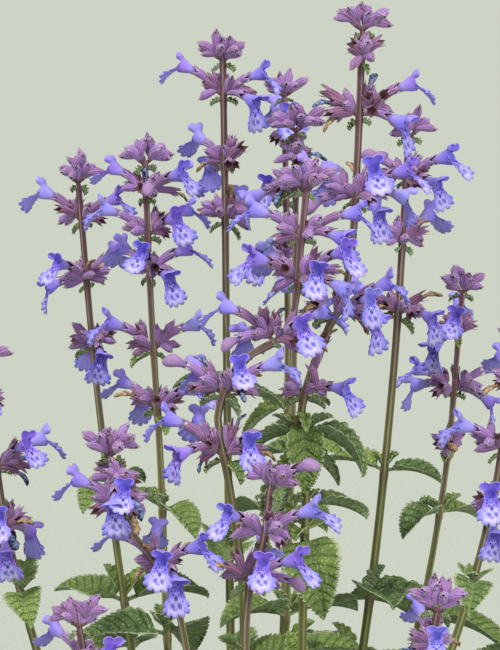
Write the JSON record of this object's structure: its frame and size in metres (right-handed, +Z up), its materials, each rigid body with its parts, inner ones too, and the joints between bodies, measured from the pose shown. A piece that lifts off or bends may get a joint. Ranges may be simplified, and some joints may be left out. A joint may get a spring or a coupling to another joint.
{
  "type": "potted catmint",
  "caption": "Catmint plant with toothed grey-green leaves and spikes of violet-blue two-lipped flowers, growing in a plain tapered terracotta pot.",
  "frame": {"origin": "on the ground under the middle of the pot", "axes": "+Z up along the stems, -Y towards the viewer of the picture, +X to the viewer's right"},
  "size_m": [0.1602, 0.1612, 0.3284],
  "materials": {
    "terracotta": "matt unglazed fired clay with pale lime bloom",
    "potting_soil": "dark crumbly peat and bark compost",
    "green_stem_and_leaf": "grey-green, softly haired, with a net of sunken veins",
    "flower_spike": "violet-blue petals in dusky purple ribbed calyces with short white hairs"
  },
  "bodies": {
    "root": {"pot": "terracotta", "soil": "potting_soil", "leafy_stem_right_tall": "green_stem_and_leaf", "flower_spike_right_tall": "flower_spike", "leafy_stem_centre_tall": "green_stem_and_leaf", "flower_spike_centre_tall": "flower_spike", "leafy_stem_left_leaning": "green_stem_and_leaf", "flower_spike_left_leaning": "flower_spike", "leafy_stem_front_low": "green_stem_and_leaf", "flower_spike_front_low": "flower_spike", "leafy_stem_rear_left_tall": "green_stem_and_leaf", "flower_spike_rear_left_tall": "flower_spike", "leafy_stem_rear_centre_tall": "green_stem_and_leaf", "flower_spike_rear_centre_tall": "flower_spike", "leafy_stem_rear_bud": "green_stem_and_leaf", "flower_spike_rear_bud": "flower_spike", "leafy_stem_rear_right": "green_stem_and_leaf", "flower_spike_rear_right": "flower_spike", "leafy_stem_back_middle": "green_stem_and_leaf", "flower_spike_back_middle": "flower_spike", "leafy_stem_back_left": "green_stem_and_leaf", "flower_spike_back_left": "flower_spike", "leafy_stem_left_outer": "green_stem_and_leaf", "flower_spike_left_outer": "flower_spike", "leafy_stem_right_outer": "green_stem_and_leaf", "flower_spike_right_outer": "flower_spike", "leafy_stem_back_right": "green_stem_and_leaf", "flower_spike_back_right": "flower_spike", "leafy_stem_front_left": "green_stem_and_leaf", "flower_spike_front_left": "flower_spike", "leafy_stem_front_right": "green_stem_and_leaf", "flower_spike_front_right": "flower_spike", "leafy_stem_shoot_1": "green_stem_and_leaf", "leafy_stem_shoot_2": "green_stem_and_leaf", "leafy_stem_shoot_3": "green_stem_and_leaf", "leafy_stem_shoot_4": "green_stem_and_leaf", "leafy_stem_shoot_5": "green_stem_and_leaf", "leafy_stem_shoot_6": "green_stem_and_leaf", "leafy_stem_shoot_7": "green_stem_and_leaf"}
  },
  "joints": []
}
